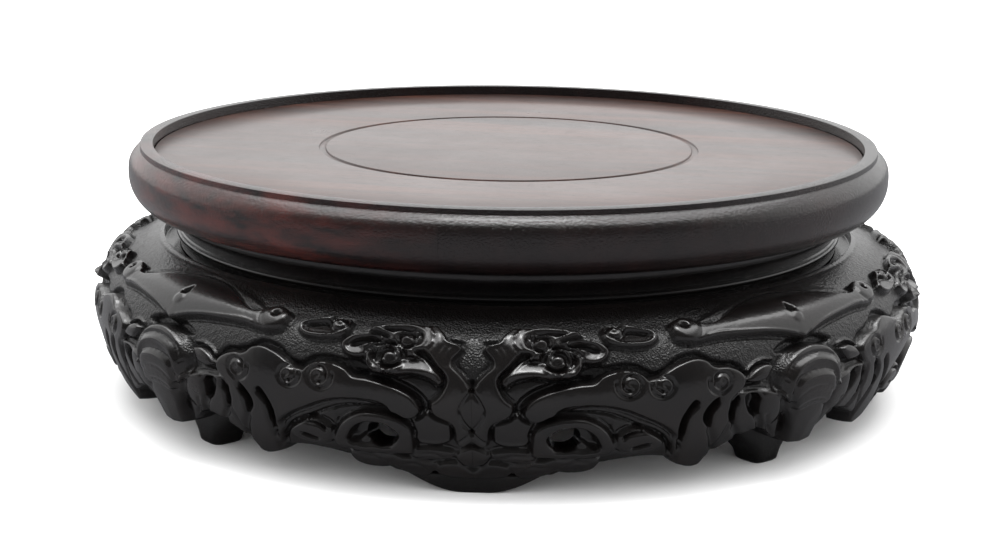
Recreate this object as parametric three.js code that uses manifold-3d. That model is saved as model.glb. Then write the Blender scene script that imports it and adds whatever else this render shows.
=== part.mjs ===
// Round carved display stand in dark rosewood: a dished round top on a moulded waist and a
// bulging skirt with eight low feet. It is an assembly of glued rings, each made of four arcs.
// Millimetres, +Z up, origin on the ground under the centre. Angles are in degrees about +Z,
// measured from -Y towards +X, and the first skirt joint lies at 0.
import * as THREE from "three";
import { mergeVertices } from "three/addons/utils/BufferGeometryUtils.js";
import Module from "manifold-3d";

const wasm = await Module();
wasm.setup();

// Driving dimensions
const HEIGHT = 72.6; // ground to the top of the lip
const RIM_R = 110; // widest radius of the rim's bullnose
const SKIRT_R = 120.6; // widest radius of the skirt
const WAIST_R = 97.8; // widest radius of the waist moulding
const GAP = 0.3; // glue line between neighbouring pieces
const ARCS = 4; // arcs in each ring
const STEPS = 72; // straight facets round a full ring

const LIP_OUTER_R = 106.9;
const LIP_INNER_R = 102.9;
const LIP_ROUND = 0.5;
const STEP_DOWN = 1.7; // lip top down to the fine step outside it
const RIM_INNER_R = 86;
const RIM_BOTTOM = 55;
const BULLNOSE_Z = 64.4; // height of the rim's widest line
const BULLNOSE_R = 8; // radial depth of the bullnose
const RIM_JOINT = -5; // angle of the first joint in the rim
const PANEL_SINK = 2.7; // lip top down to the panel
const PANEL_THICK = 7;
const SCRIBE_R = 54.3; // middle of the circle scribed in the panel
const SCRIBE_HALF = 0.7;
const SCRIBE_DEEP = 0.7;
const BATTEN_X = 35;
const BATTEN = [16, 168, 5.7];

const WAIST_INNER_R = 88.5;
const WAIST_JOINT = -18; // angle of the first joint in the waist
const PEG_R = 2;
const PEG_CIRCLE_R = 93;
const PEG_ANGLES = [12, 57]; // two pegs in each quarter turn
const PEG_BOTTOM = 39.4;
const PEG_TOP = 59.2;

const SKIRT_TOP = 46.6;
const SKIRT_MOUTH_R = 100.2; // opening in the skirt that the waist stands in
const SHELF_TOP = 43.3; // ledge inside the skirt that carries the waist
const SHELF_THICK = 4.2;
const HEM = 5; // hem of the skirt between the feet
const HEM_ARCHES = [
  { angle: 20, width: 20, height: 9 },
  { angle: 39.4, width: 15, height: 11.8 },
];
const HOLE = { angle: 12, height: 14.5, halfWidth: 4, halfHeight: 3 };
const TONGUE_RIM = { radius: 95, height: 58.9, size: [16, 8, 3] };
const TONGUE_SKIRT = { radius: 113.2, height: 25.5, size: [12, 4, 17] };

const PAD_HEIGHT = 3.8; // the four wide pads under the skirt joints
const PAD_ANGLE = 9.5; // half the angle that a pad covers
const PAD_FLAT = 6; // half the length that a pad stands on
const FOOT_TOP = 16; // the four blocks behind the hem, midway between the pads
const FOOT_ANGLE = 45;

const QUARTER = 360 / ARCS;
const RAD = Math.PI / 180;
const PANEL_TOP = HEIGHT - PANEL_SINK;
const PANEL_BOTTOM = PANEL_TOP - PANEL_THICK;
const REBATE = PANEL_BOTTOM - GAP;
const WAIST_TOP = RIM_BOTTOM - GAP;
const HEM_BOTTOM = PAD_HEIGHT + GAP;
const pt = (x, y) => new THREE.Vector2(x, y);

const wood = (color, roughness) =>
  new THREE.MeshStandardMaterial({ color, roughness, metalness: 0 });
const panelWood = wood(0x4a3832, 0.25);
const rimWood = wood(0x2b1512, 0.25);
const waistWood = wood(0x120d0e, 0.3);
const skirtWood = wood(0x0f0c0e, 0.35);
const footWood = wood(0x0f0c0e, 0.45);
const innerWood = wood(0x3a2019, 0.7);

const stand = new THREE.Group();

// A closed geometry as a solid that can be cut.
function solid(geometry) {
  const bare = geometry.clone();
  bare.deleteAttribute("normal");
  bare.deleteAttribute("uv");
  const merged = mergeVertices(bare, 1e-4);
  const vertProperties = merged.getAttribute("position").array;
  const triVerts = new Uint32Array(merged.index.array);
  return new wasm.Manifold(new wasm.Mesh({ numProp: 3, vertProperties, triVerts }));
}

// Adds one named piece, turned about +Z by an angle.
function add(name, body, material, angle = 0) {
  const mesh = body.getMesh();
  const geometry = new THREE.BufferGeometry();
  geometry.setAttribute("position", new THREE.BufferAttribute(mesh.vertProperties, 3));
  geometry.setIndex(new THREE.BufferAttribute(mesh.triVerts, 1));
  geometry.computeVertexNormals();
  const piece = new THREE.Mesh(geometry, material);
  piece.name = name;
  piece.rotation.z = angle * RAD;
  stand.add(piece);
}

// A profile of (radius, height) points turned about +Z. It runs anticlockwise and closes on
// itself, or starts and ends on the axis.
function turned(profile) {
  const closed = profile[0].x > 0 ? [...profile, profile[0].clone()] : profile;
  return solid(new THREE.LatheGeometry(closed, STEPS).rotateX(Math.PI / 2));
}

// A block by its middle and size, set at an angle round the stand.
function block({ radius, height, size }, angle, grow = 0) {
  const [wide, deep, tall] = size.map((length) => length + 2 * grow);
  const box = new THREE.BoxGeometry(wide, deep, tall);
  return solid(box.translate(0, -radius, height).rotateZ(angle * RAD));
}

// An outline in (across, up) run out along the radius at an angle.
function radial(outline, angle, from, to) {
  const bar = new THREE.ExtrudeGeometry(outline, {
    depth: to - from,
    bevelEnabled: false,
    curveSegments: 6,
  });
  return solid(bar.rotateX(Math.PI / 2).translate(0, -from, 0).rotateZ(angle * RAD));
}

// The quarter turn that starts at an angle, less half a glue line along both its ends.
function quarter(start) {
  const side = 2 * SKIRT_R;
  const corner = new THREE.BoxGeometry(side, side, 4 * HEIGHT);
  corner.translate((side + GAP) / 2, -(side + GAP) / 2, 0);
  return solid(corner.rotateZ(start * RAD));
}

function ellipse(cx, cy, rx, ry, from, to, count) {
  return new THREE.EllipseCurve(cx, cy, rx, ry, from * RAD, to * RAD).getPoints(count);
}

// Top panel: a disc let into the rim's rebate, with one shallow scribed circle.
function panel() {
  const edge = LIP_INNER_R - GAP;
  return turned([
    pt(0, PANEL_BOTTOM),
    pt(edge, PANEL_BOTTOM),
    pt(edge, PANEL_TOP),
    pt(SCRIBE_R + SCRIBE_HALF, PANEL_TOP),
    pt(SCRIBE_R, PANEL_TOP - SCRIBE_DEEP),
    pt(SCRIBE_R - SCRIBE_HALF, PANEL_TOP),
    pt(0, PANEL_TOP),
  ]);
}

// Battens: two bars across the grain under the panel, their ends notched into the rim.
function batten(x, grow = 0) {
  const [wide, long, tall] = BATTEN.map((length) => length + 2 * grow);
  return solid(new THREE.BoxGeometry(wide, long, tall).translate(x, 0, REBATE - BATTEN[2] / 2));
}

// Pegs: bamboo pins that tie the skirt's ledge, the waist and the rim together.
function peg(angle, grow = 0) {
  const length = PEG_TOP - PEG_BOTTOM + 2 * grow;
  const pin = new THREE.CylinderGeometry(PEG_R + grow, PEG_R + grow, length, 12);
  pin.rotateX(Math.PI / 2).translate(0, -PEG_CIRCLE_R, (PEG_TOP + PEG_BOTTOM) / 2);
  return solid(pin.rotateZ(angle * RAD));
}

const pegAngles = [];
for (let turn = 0; turn < 360; turn += QUARTER) {
  pegAngles.push(...PEG_ANGLES.map((angle) => angle + turn));
}

function drilled(ring) {
  return pegAngles.reduce((body, angle) => body.subtract(peg(angle, GAP)), ring);
}

// Rim: a lip, a fine step, a bullnose, and a broad rebate that carries the panel.
function rimRing() {
  const centre = RIM_R - BULLNOSE_R;
  const under = BULLNOSE_Z - RIM_BOTTOM;
  const ring = turned([
    pt(RIM_INNER_R, RIM_BOTTOM),
    ...ellipse(centre, BULLNOSE_Z, BULLNOSE_R, under, -80, 0, 7),
    ...ellipse(centre, BULLNOSE_Z, BULLNOSE_R, 7.4, 15, 52, 3),
    pt(LIP_OUTER_R, HEIGHT - STEP_DOWN),
    pt(LIP_OUTER_R, HEIGHT - LIP_ROUND),
    pt(LIP_OUTER_R - LIP_ROUND, HEIGHT),
    pt(LIP_INNER_R + LIP_ROUND, HEIGHT),
    pt(LIP_INNER_R, HEIGHT - LIP_ROUND),
    pt(LIP_INNER_R, REBATE),
    pt(RIM_INNER_R, REBATE),
  ]);
  const notched = ring.subtract(batten(BATTEN_X, GAP)).subtract(batten(-BATTEN_X, GAP));
  return drilled(notched);
}

// Waist: an ovolo over a hollow over a thin bead, standing on the skirt's ledge.
function waistRing() {
  const ring = turned([
    pt(WAIST_INNER_R, SHELF_TOP + GAP),
    pt(WAIST_R - 2.2, SHELF_TOP + GAP),
    pt(WAIST_R - 2.2, SKIRT_TOP - 0.3),
    pt(WAIST_R - 1.5, SKIRT_TOP),
    pt(WAIST_R - 1.2, SKIRT_TOP + 0.5),
    pt(WAIST_R - 1.6, SKIRT_TOP + 1),
    pt(WAIST_R - 2.3, SKIRT_TOP + 1.5),
    pt(WAIST_R - 2.2, SKIRT_TOP + 2.4),
    pt(WAIST_R - 1.3, SKIRT_TOP + 3.8),
    pt(WAIST_R - 0.3, SKIRT_TOP + 5.2),
    pt(WAIST_R, SKIRT_TOP + 6.6),
    pt(WAIST_R - 0.3, WAIST_TOP),
    pt(WAIST_INNER_R, WAIST_TOP),
  ]);
  return drilled(ring);
}

// Skirt: its face bulges from the mouth over the shoulder and down to the hem, and a ledge
// inside its top carries the waist.
function skirtRing() {
  const face = new THREE.SplineCurve([
    pt(111.8, HEM_BOTTOM),
    pt(115.9, 11),
    pt(119, 19),
    pt(SKIRT_R, 27.5),
    pt(118.8, 36),
    pt(114.6, 42),
    pt(108.6, 44.9),
    pt(SKIRT_MOUTH_R, SKIRT_TOP),
  ]);
  const ledge = SHELF_TOP - SHELF_THICK;
  const ring = turned([
    ...face.getPoints(16),
    pt(SKIRT_MOUTH_R, SHELF_TOP),
    pt(WAIST_INNER_R - 1, SHELF_TOP),
    pt(WAIST_INNER_R - 1, ledge),
    pt(100, ledge),
    pt(106, 34),
    pt(109.4, 26),
    pt(107.4, 13),
    pt(105.2, HEM_BOTTOM),
  ]);
  return drilled(ring);
}

// An arch cut up into the hem.
function hemArch({ angle, width, height }) {
  const arch = new THREE.Shape();
  arch.moveTo(-width / 2, -HEM);
  arch.lineTo(width / 2, -HEM);
  arch.quadraticCurveTo(width / 2, height, 0, height);
  arch.quadraticCurveTo(-width / 2, height, -width / 2, -HEM);
  return radial(arch, angle, 90, 130);
}

// A hole pierced through the skirt beside a joint.
function hole(angle) {
  const oval = new THREE.Shape();
  oval.absellipse(0, HOLE.height, HOLE.halfWidth, HOLE.halfHeight, 0, 2 * Math.PI);
  return radial(oval, angle, 90, 130);
}

// One quarter of the skirt: the hem is raised between the pads, arched and pierced, the same
// way from both of its ends.
function skirtArc() {
  const below = turned([pt(90, -HEM), pt(130, -HEM), pt(130, HEM), pt(90, HEM)]);
  const between = below.intersect(quarter(PAD_ANGLE)).intersect(quarter(-PAD_ANGLE));
  let arc = skirtRing().intersect(quarter(0)).subtract(between);
  for (const arch of HEM_ARCHES) {
    arc = arc.subtract(hemArch(arch));
    arc = arc.subtract(hemArch({ ...arch, angle: QUARTER - arch.angle }));
  }
  return arc.subtract(hole(HOLE.angle)).subtract(hole(QUARTER - HOLE.angle));
}

// Foot pad: a low boat-shaped strip under a skirt joint, flat where it stands.
function footPad() {
  const half = 111.5 * Math.sin(PAD_ANGLE * RAD);
  const boat = new THREE.Shape();
  boat.moveTo(-half, PAD_HEIGHT);
  boat.quadraticCurveTo(-half * 0.62, 0.2, -PAD_FLAT, 0);
  boat.lineTo(PAD_FLAT, 0);
  boat.quadraticCurveTo(half * 0.62, 0.2, half, PAD_HEIGHT);
  const strip = turned([
    pt(105, 0),
    pt(110.4, 0),
    pt(111.7, PAD_HEIGHT),
    pt(105, PAD_HEIGHT),
  ]);
  return strip.intersect(radial(boat, 0, 90, 130));
}

// Foot block: a hoof that narrows to the ground, glued to the inner face of the skirt.
function footBlock() {
  const hoof = new THREE.Shape();
  hoof.moveTo(-6.5, 0);
  hoof.lineTo(6.5, 0);
  hoof.quadraticCurveTo(8.5, 0.6, 11.5, 6);
  hoof.lineTo(11.5, FOOT_TOP);
  hoof.lineTo(-11.5, FOOT_TOP);
  hoof.lineTo(-11.5, 6);
  hoof.quadraticCurveTo(-8.5, 0.6, -6.5, 0);
  const strip = turned([pt(94, 0), pt(104, 0), pt(107.2, FOOT_TOP), pt(94, FOOT_TOP)]);
  return strip.intersect(radial(hoof, 0, 90, 130));
}

add("top_panel", panel(), panelWood);
add("panel_batten_left", batten(-BATTEN_X), innerWood);
add("panel_batten_right", batten(BATTEN_X), innerWood);

const rim = rimRing();
const waist = waistRing();
const skirtQuarter = skirtArc();
for (let i = 0; i < ARCS; i++) {
  const turn = i * QUARTER;
  const ahead = turn + QUARTER;
  const rimSlots = [turn, ahead].map((at) => block(TONGUE_RIM, at + RIM_JOINT, GAP));
  const rimArc = rim.intersect(quarter(turn + RIM_JOINT));
  add(`rim_arc_${i + 1}`, rimArc.subtract(rimSlots[0]).subtract(rimSlots[1]), rimWood);
  add(`rim_tongue_${i + 1}`, block(TONGUE_RIM, turn + RIM_JOINT), innerWood);

  add(`waist_arc_${i + 1}`, waist.intersect(quarter(turn + WAIST_JOINT)), waistWood);

  const skirtSlots = [0, QUARTER].map((at) => block(TONGUE_SKIRT, at, GAP));
  const slotted = skirtQuarter.subtract(skirtSlots[0]).subtract(skirtSlots[1]);
  add(`skirt_arc_${i + 1}`, slotted, skirtWood, turn);
  add(`skirt_tongue_${i + 1}`, block(TONGUE_SKIRT, turn), innerWood);

  add(`foot_pad_${i + 1}`, footPad(), footWood, turn);
  add(`foot_block_${i + 1}`, footBlock(), footWood, turn + FOOT_ANGLE);
}
pegAngles.forEach((angle, i) => add(`waist_peg_${i + 1}`, peg(angle), innerWood));

export default stand;
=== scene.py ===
import math

import bmesh
import bpy
import numpy as np
from mathutils import Matrix, Vector, noise


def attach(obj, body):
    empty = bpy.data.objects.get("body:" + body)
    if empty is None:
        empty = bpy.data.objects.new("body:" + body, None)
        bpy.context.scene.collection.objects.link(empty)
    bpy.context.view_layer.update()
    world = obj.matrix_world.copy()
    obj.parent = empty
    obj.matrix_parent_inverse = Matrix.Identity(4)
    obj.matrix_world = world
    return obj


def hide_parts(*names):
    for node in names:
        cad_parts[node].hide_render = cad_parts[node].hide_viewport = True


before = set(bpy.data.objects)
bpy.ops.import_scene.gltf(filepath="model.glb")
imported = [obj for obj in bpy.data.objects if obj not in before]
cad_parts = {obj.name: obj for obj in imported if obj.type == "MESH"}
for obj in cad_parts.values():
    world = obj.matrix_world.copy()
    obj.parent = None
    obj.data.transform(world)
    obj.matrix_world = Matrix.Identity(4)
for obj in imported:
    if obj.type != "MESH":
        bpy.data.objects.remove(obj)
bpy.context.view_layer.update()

# ---------------------------------------------------------------------------
# Camera: a long lens a little above table height, looking slightly down at the
# stand, four degrees to the right of its front joint.

CAMERA_TURN = math.radians(4.0)
CAMERA_OUT = 0.65075
CAMERA_HEIGHT = 0.1827
CAMERA_DOWN = math.radians(13.053)
CAMERA_ASIDE = math.radians(0.186)
CAMERA_ROLL = math.radians(0.670)
LENS = 81.13

camera_data = bpy.data.cameras.new("camera")
camera_data.lens = LENS
camera_data.sensor_width = 36.0
camera_data.clip_start = 0.01
camera_data.clip_end = 20.0
camera = bpy.data.objects.new("camera", camera_data)
bpy.context.scene.collection.objects.link(camera)
aim = Matrix.Rotation(CAMERA_TURN + CAMERA_ASIDE, 4, "Z")
aim = aim @ Matrix.Rotation(math.pi / 2 - CAMERA_DOWN, 4, "X") @ Matrix.Rotation(CAMERA_ROLL, 4, "Z")
spot = Vector((CAMERA_OUT * math.sin(CAMERA_TURN), -CAMERA_OUT * math.cos(CAMERA_TURN), CAMERA_HEIGHT))
camera.matrix_world = Matrix.Translation(spot) @ aim
bpy.context.scene.camera = camera

# ---------------------------------------------------------------------------
# Floor and light: a plain white table and a white room, with a broad softbox
# above and a small bright one that gives the lacquer its sparkle.


def linear(colour):
    """An sRGB hex colour as linear red, green, blue and 1."""
    parts = [int(colour[i:i + 2], 16) / 255 for i in (1, 3, 5)]
    return [c / 12.92 if c <= 0.04045 else ((c + 0.055) / 1.055) ** 2.4 for c in parts] + [1.0]


def add(tree, kind, values=(), links=(), **settings):
    """A new node with its settings, its sockets' values and its incoming links.

    A link comes from an output socket, or from the first output of a node."""
    made = tree.nodes.new(kind)
    for name, value in settings.items():
        setattr(made, name, value)
    for name, value in dict(values).items():
        made.inputs[name].default_value = value
    for name, source in dict(links).items():
        outlet = source if isinstance(source, bpy.types.NodeSocket) else source.outputs[0]
        tree.links.new(outlet, made.inputs[name])
    return made


def empty_material(name):
    """A node material with nothing in it yet."""
    material = bpy.data.materials.new(name)
    material.use_nodes = True
    material.node_tree.nodes.clear()
    return material


def put(name, mesh_maker):
    """A finished bmesh as an object at the origin."""
    mesh = bpy.data.meshes.new(name)
    mesh_maker.to_mesh(mesh)
    mesh_maker.free()
    piece = bpy.data.objects.new(name, mesh)
    bpy.context.scene.collection.objects.link(piece)
    return piece


FLOOR_SIZE = 3.0
TABLE_COLOUR = "#F6F6F6"
TABLE_PAINTED_DIM_IN_REFLECTIONS = "#6C6C6E"

floor_maker = bmesh.new()
bmesh.ops.create_grid(floor_maker, x_segments=2, y_segments=2, size=FLOOR_SIZE)
floor = put("floor", floor_maker)
# matt white paper, painted darker for glossy rays: a painted dim reflection of the table in the lacquer
white_table = empty_material("white_paper_table")
tree = white_table.node_tree
# painted reflection: rays from the lacquer see the table grey instead of white
ray = add(tree, "ShaderNodeLightPath")
paper = add(tree, "ShaderNodeMix", {6: linear(TABLE_COLOUR), 7: linear(TABLE_PAINTED_DIM_IN_REFLECTIONS)},
            {0: ray.outputs["Is Glossy Ray"]}, data_type="RGBA")
surface = add(tree, "ShaderNodeBsdfDiffuse", links={"Color": paper.outputs[2]})
add(tree, "ShaderNodeOutputMaterial", links={"Surface": surface})
floor.data.materials.append(white_table)

# what the lacquer mirrors of the room is dark on the camera's side and bright at the back
ROOM_FRONT = 0.10
ROOM_BACK = 1.18
DARK_TO = -0.60
BRIGHT_FROM = 0.22
# the light the room gives, and how bright the camera sees it
ROOM_FILL = 1.8
BACKDROP = 1.0

world = bpy.data.worlds.new("studio")
world.use_nodes = True
bpy.context.scene.world = world
tree = world.node_tree
tree.nodes.clear()
way = add(tree, "ShaderNodeTexCoord")
parts = add(tree, "ShaderNodeSeparateXYZ", links={0: way.outputs["Generated"]})
turn = add(tree, "ShaderNodeMapRange", {"From Min": DARK_TO, "From Max": BRIGHT_FROM,
                                        "To Min": ROOM_FRONT, "To Max": ROOM_BACK},
           {"Value": parts.outputs["Y"]}, interpolation_type="SMOOTHSTEP")
mirrored = add(tree, "ShaderNodeBackground", {"Color": linear("#FFFFFF")}, {"Strength": turn})
fill = add(tree, "ShaderNodeBackground", {"Color": linear("#FFFFFF"), "Strength": ROOM_FILL})
seen = add(tree, "ShaderNodeBackground", {"Color": linear("#FDFDFD"), "Strength": BACKDROP})
ray = add(tree, "ShaderNodeLightPath")
lit = add(tree, "ShaderNodeMixShader", links={0: ray.outputs["Is Glossy Ray"], 1: fill, 2: mirrored})
mixed = add(tree, "ShaderNodeMixShader", links={0: ray.outputs["Is Camera Ray"], 1: lit, 2: seen})
add(tree, "ShaderNodeOutputWorld", links={"Surface": mixed})


def softbox(name, out, up, wide, deep, radiance, aside=0.0):
    """A rectangular lamp that faces the stand from so far out, so many degrees up from the back."""
    data = bpy.data.lights.new(name, "AREA")
    data.shape = "RECTANGLE"
    data.size = wide
    data.size_y = deep
    data.energy = math.pi * wide * deep * radiance
    lamp = bpy.data.objects.new(name, data)
    bpy.context.scene.collection.objects.link(lamp)
    lift, turn = math.radians(up), math.radians(aside)
    place = Vector((math.sin(turn) * math.cos(lift), math.cos(turn) * math.cos(lift), math.sin(lift)))
    place *= out
    lamp.location = place
    lamp.rotation_euler = (-place).to_track_quat("-Z", "Y").to_euler()
    return lamp


softbox("softbox_above", 1.3, 80, 1.8, 1.4, 3.2)
softbox("lamp_sparkle", 1.2, 97, 0.50, 0.12, 22.0, -8)

bpy.context.scene.view_settings.view_transform = "Standard"
bpy.context.scene.view_settings.look = "None"

# ---------------------------------------------------------------------------
# Top panel: one round board of rosewood let into the rim, planed flat, rubbed
# and lacquered thin, with a single circle scribed round its middle.

MM = 0.001
PANEL_TOP = 69.9
PANEL_BOTTOM = 62.9
PANEL_R = 102.6
SCRIBE_R = 54.3
SCRIBE_HALF = 0.95
SCRIBE_DEEP = 0.85
PANEL_EDGE = 0.4
AXIS_GAP = 0.02
ROUND_STEPS = 256


def turned(profile, degrees, steps, start=0.0):
    """A profile of (radius, height) millimetres, closed, turned about the upright axis.

    The angle is measured from the front towards the right. A part turn has its two ends filled."""
    maker = bmesh.new()
    corners = [maker.verts.new((0.0, -r * MM, z * MM)) for r, z in profile]
    edges = [maker.edges.new((a, b)) for a, b in zip(corners, corners[1:] + corners[:1])]
    bmesh.ops.rotate(maker, cent=(0, 0, 0), matrix=Matrix.Rotation(math.radians(start), 3, "Z"),
                     verts=corners)
    whole = degrees >= 360
    bmesh.ops.spin(maker, geom=corners + edges, cent=(0, 0, 0), axis=(0, 0, 1),
                   angle=math.radians(degrees), steps=steps, use_merge=whole)
    if not whole:
        rims = [e for e in maker.edges if e.is_boundary]
        bmesh.ops.holes_fill(maker, edges=rims, sides=0)
    bmesh.ops.remove_doubles(maker, verts=maker.verts, dist=1e-6)
    bmesh.ops.recalc_face_normals(maker, faces=maker.faces)
    return maker


def smooth(piece, degrees=32):
    """Smooth shading with sharp edges kept where the surface turns by more than this."""
    mesh = piece.data
    mesh.polygons.foreach_set("use_smooth", [True] * len(mesh.polygons))
    mesh.set_sharp_from_angle(angle=math.radians(degrees))


def scribed_circle(radius, half, deep, top):
    """The section of a round-bottomed groove whose lips are eased, from inside to outside."""
    lip = [(half + 0.5, 0.0), (half + 0.12, 0.04), (half, 0.2)]
    bottom = [(radius + half * t, top - deep * (0.35 + 0.65 * math.sqrt(1 - t * t)))
              for t in (-0.9, -0.55, 0.0, 0.55, 0.9)]
    inner = [(radius - across, top - down) for across, down in lip]
    outer = [(radius + across, top - down) for across, down in reversed(lip)]
    return inner + bottom + outer


panel_profile = [(AXIS_GAP, PANEL_TOP), (20, PANEL_TOP)]
panel_profile += scribed_circle(SCRIBE_R, SCRIBE_HALF, SCRIBE_DEEP, PANEL_TOP)
panel_profile += [(80, PANEL_TOP), (PANEL_R - PANEL_EDGE, PANEL_TOP), (PANEL_R - 0.1, PANEL_TOP - 0.12)]
panel_profile += [(PANEL_R, PANEL_TOP - PANEL_EDGE), (PANEL_R, PANEL_BOTTOM), (AXIS_GAP, PANEL_BOTTOM)]
panel = put("panel", turned(panel_profile, 360, ROUND_STEPS))
smooth(panel)

# how many of each there are to the metre
GRAIN_WAVES = 9.0
PORES_ALONG = 260.0
PORES_ACROSS = 2600.0
WORN_PATCHES = 42.0
LACQUER_PIMPLES = 1500.0
PORE_DEEP = 0.12 * MM


def rosewood(name, dark, mid, light, grain_mm, along, rough, coat, red=None, lift=1.0, peel=0.0):
    """Lacquered rosewood: straight dark lines in a red-brown ground, open pores drawn along
    the grain, and a coat of rubbed lacquer that has sunk a little into the pores.

    along turns the grain, in degrees. red is what the wood turns to where the piece's redness
    attribute says, lift scales the relief of the grain, and peel adds the lacquer's orange peel."""
    material = empty_material(name)
    tree = material.node_tree
    place = add(tree, "ShaderNodeTexCoord").outputs["Object"]
    turned_grain = add(tree, "ShaderNodeMapping", {"Rotation": (0, 0, math.radians(along))},
                       {"Vector": place})
    waves = add(tree, "ShaderNodeTexNoise", {"Scale": GRAIN_WAVES, "Detail": 3.0, "Roughness": 0.5},
                {"Vector": turned_grain})
    bend = add(tree, "ShaderNodeVectorMath", {1: (0.0, 0.010, 0.010)}, {0: waves.outputs["Color"]},
               operation="MULTIPLY")
    bent = add(tree, "ShaderNodeVectorMath", links={0: turned_grain, 1: bend}, operation="ADD")

    # fine dark lines and broad streaks, both drawn out along the grain
    across = 1000.0 / grain_mm
    long_grain = add(tree, "ShaderNodeMapping", {"Scale": (across * 0.03, across, across * 0.6)},
                     {"Vector": bent})
    lines = add(tree, "ShaderNodeTexNoise",
                {"Scale": 1.0, "Detail": 6.0, "Roughness": 0.62, "Distortion": 0.25},
                {"Vector": long_grain})
    bands = add(tree, "ShaderNodeMapping", {"Scale": (across * 0.008, across * 0.16, across * 0.12)},
                {"Vector": bent})
    streaks = add(tree, "ShaderNodeTexNoise", {"Scale": 1.0, "Detail": 3.0, "Roughness": 0.55},
                  {"Vector": bands})
    both = add(tree, "ShaderNodeMix", {0: 0.5}, {2: lines, 3: streaks}, data_type="FLOAT")
    tones = add(tree, "ShaderNodeValToRGB", links={0: both})
    ramp = tones.color_ramp
    ramp.elements[0].position = 0.36
    ramp.elements[0].color = linear(dark)
    ramp.elements[1].position = 0.66
    ramp.elements[1].color = linear(light)
    ramp.elements.new(0.5).color = linear(mid)
    colour = tones
    if red:
        redness = add(tree, "ShaderNodeAttribute", attribute_name="redness")
        reddened = add(tree, "ShaderNodeMix", {7: linear(red)}, {0: redness.outputs["Fac"], 6: colour},
                       data_type="RGBA")
        colour = reddened.outputs[2]

    # open pores: dark, and sunk
    pore_grid = add(tree, "ShaderNodeMapping", {"Scale": (PORES_ALONG, PORES_ACROSS, PORES_ACROSS)},
                    {"Vector": bent})
    pores = add(tree, "ShaderNodeTexNoise", {"Scale": 1.0, "Detail": 2.0, "Roughness": 0.5},
                {"Vector": pore_grid})
    open_pore = add(tree, "ShaderNodeMapRange", {"From Min": 0.60, "From Max": 0.72}, {"Value": pores})
    stained = add(tree, "ShaderNodeMix", {7: linear("#0B0605")}, {0: open_pore, 6: colour},
                  data_type="RGBA")

    # uneven rubbing, and the relief of pores, grain and lacquer
    wear = add(tree, "ShaderNodeTexNoise", {"Scale": WORN_PATCHES, "Detail": 4.0, "Roughness": 0.6},
               {"Vector": place})
    gloss = add(tree, "ShaderNodeMapRange", {"To Min": rough * 0.75, "To Max": rough * 1.3},
                {"Value": wear})
    relief = add(tree, "ShaderNodeMath", {1: -1.0}, {0: open_pore}, operation="MULTIPLY")
    height = add(tree, "ShaderNodeMath", {1: 0.6}, {0: lines, 2: relief}, operation="MULTIPLY_ADD")
    if peel:
        pimples = add(tree, "ShaderNodeTexNoise", {"Scale": LACQUER_PIMPLES, "Detail": 2.0},
                      {"Vector": place})
        height = add(tree, "ShaderNodeMath", {1: peel}, {0: pimples, 2: height}, operation="MULTIPLY_ADD")
    bump = add(tree, "ShaderNodeBump", {"Strength": 0.5 * lift, "Distance": PORE_DEEP}, {"Height": height})
    surface = add(tree, "ShaderNodeBsdfPrincipled",
                  {"IOR": 1.5, "Coat Weight": coat, "Coat Roughness": rough * 0.6, "Coat IOR": 1.5},
                  {"Base Color": stained.outputs[2], "Roughness": gloss, "Normal": bump})
    add(tree, "ShaderNodeOutputMaterial", links={"Surface": surface})
    return material


# Indian rosewood, quarter sawn, rubbed with thin lacquer: brown with darker straight lines.
panel_wood = rosewood("rubbed_rosewood_board", "#190D0A", "#301A13", "#4A2A1E", 3.2, 8, 0.30, 0.30,
                      lift=0.6)
panel.data.materials.append(panel_wood)
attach(panel, "root")
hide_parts("top_panel")

# ---------------------------------------------------------------------------
# Rim: four bent-cut arcs of rosewood scarfed end to end, moulded to a bullnose
# with a small raised lip, stained nearly black and polished; one arc is redder.

RIM_R = 110.0
RIM_INNER_R = 86.0
RIM_BOTTOM = 55.0
RIM_TOP = 72.6
NOSE_Z = 64.4
NOSE_R = 8.0
LIP_OUTER_R = 106.55
LIP_INNER_R = 102.9
LIP_DROP = 1.55
LIP_ROUND = 0.18
NOSE_TOP = [(110.0, 64.4), (109.97, 66.0), (109.75, 67.5), (109.2, 68.7), (108.4, 69.6), (107.5, 70.4),
            (106.6, 71.0)]
REBATE = 62.6
RIM_JOINT = -5.0
RIM_STEPS = 90
JOINT_HALF = 0.02


def arc(centre_r, centre_z, wide, high, first, last, count):
    """Points on an upright ellipse, from one angle in degrees to another, 0 outwards and 90 up."""
    points = []
    for k in range(count + 1):
        turn = math.radians(first + (last - first) * k / count)
        points.append((centre_r + wide * math.cos(turn), centre_z + high * math.sin(turn)))
    return points


def spline(points, closed=False, per=7):
    """A smooth line through points, as rows of two numbers. A doubled point makes a corner."""
    points = np.asarray(points, float)
    count = len(points)
    if closed:
        points = np.vstack([points[-1:], points, points[:2]])
    else:
        points = np.vstack([points[:1], points, points[-1:]])
    spans = count if closed else count - 1
    t = np.linspace(0, 1, per, endpoint=False)[:, None]
    made = []
    for k in range(spans):
        a, b, c, d = points[k:k + 4]
        made.append(0.5 * (2 * b + (c - a) * t + (2 * a - 5 * b + 4 * c - d) * t ** 2
                           + (3 * b - a - 3 * c + d) * t ** 3))
    if not closed:
        made.append(points[-2][None])
    return np.vstack(made)


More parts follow.
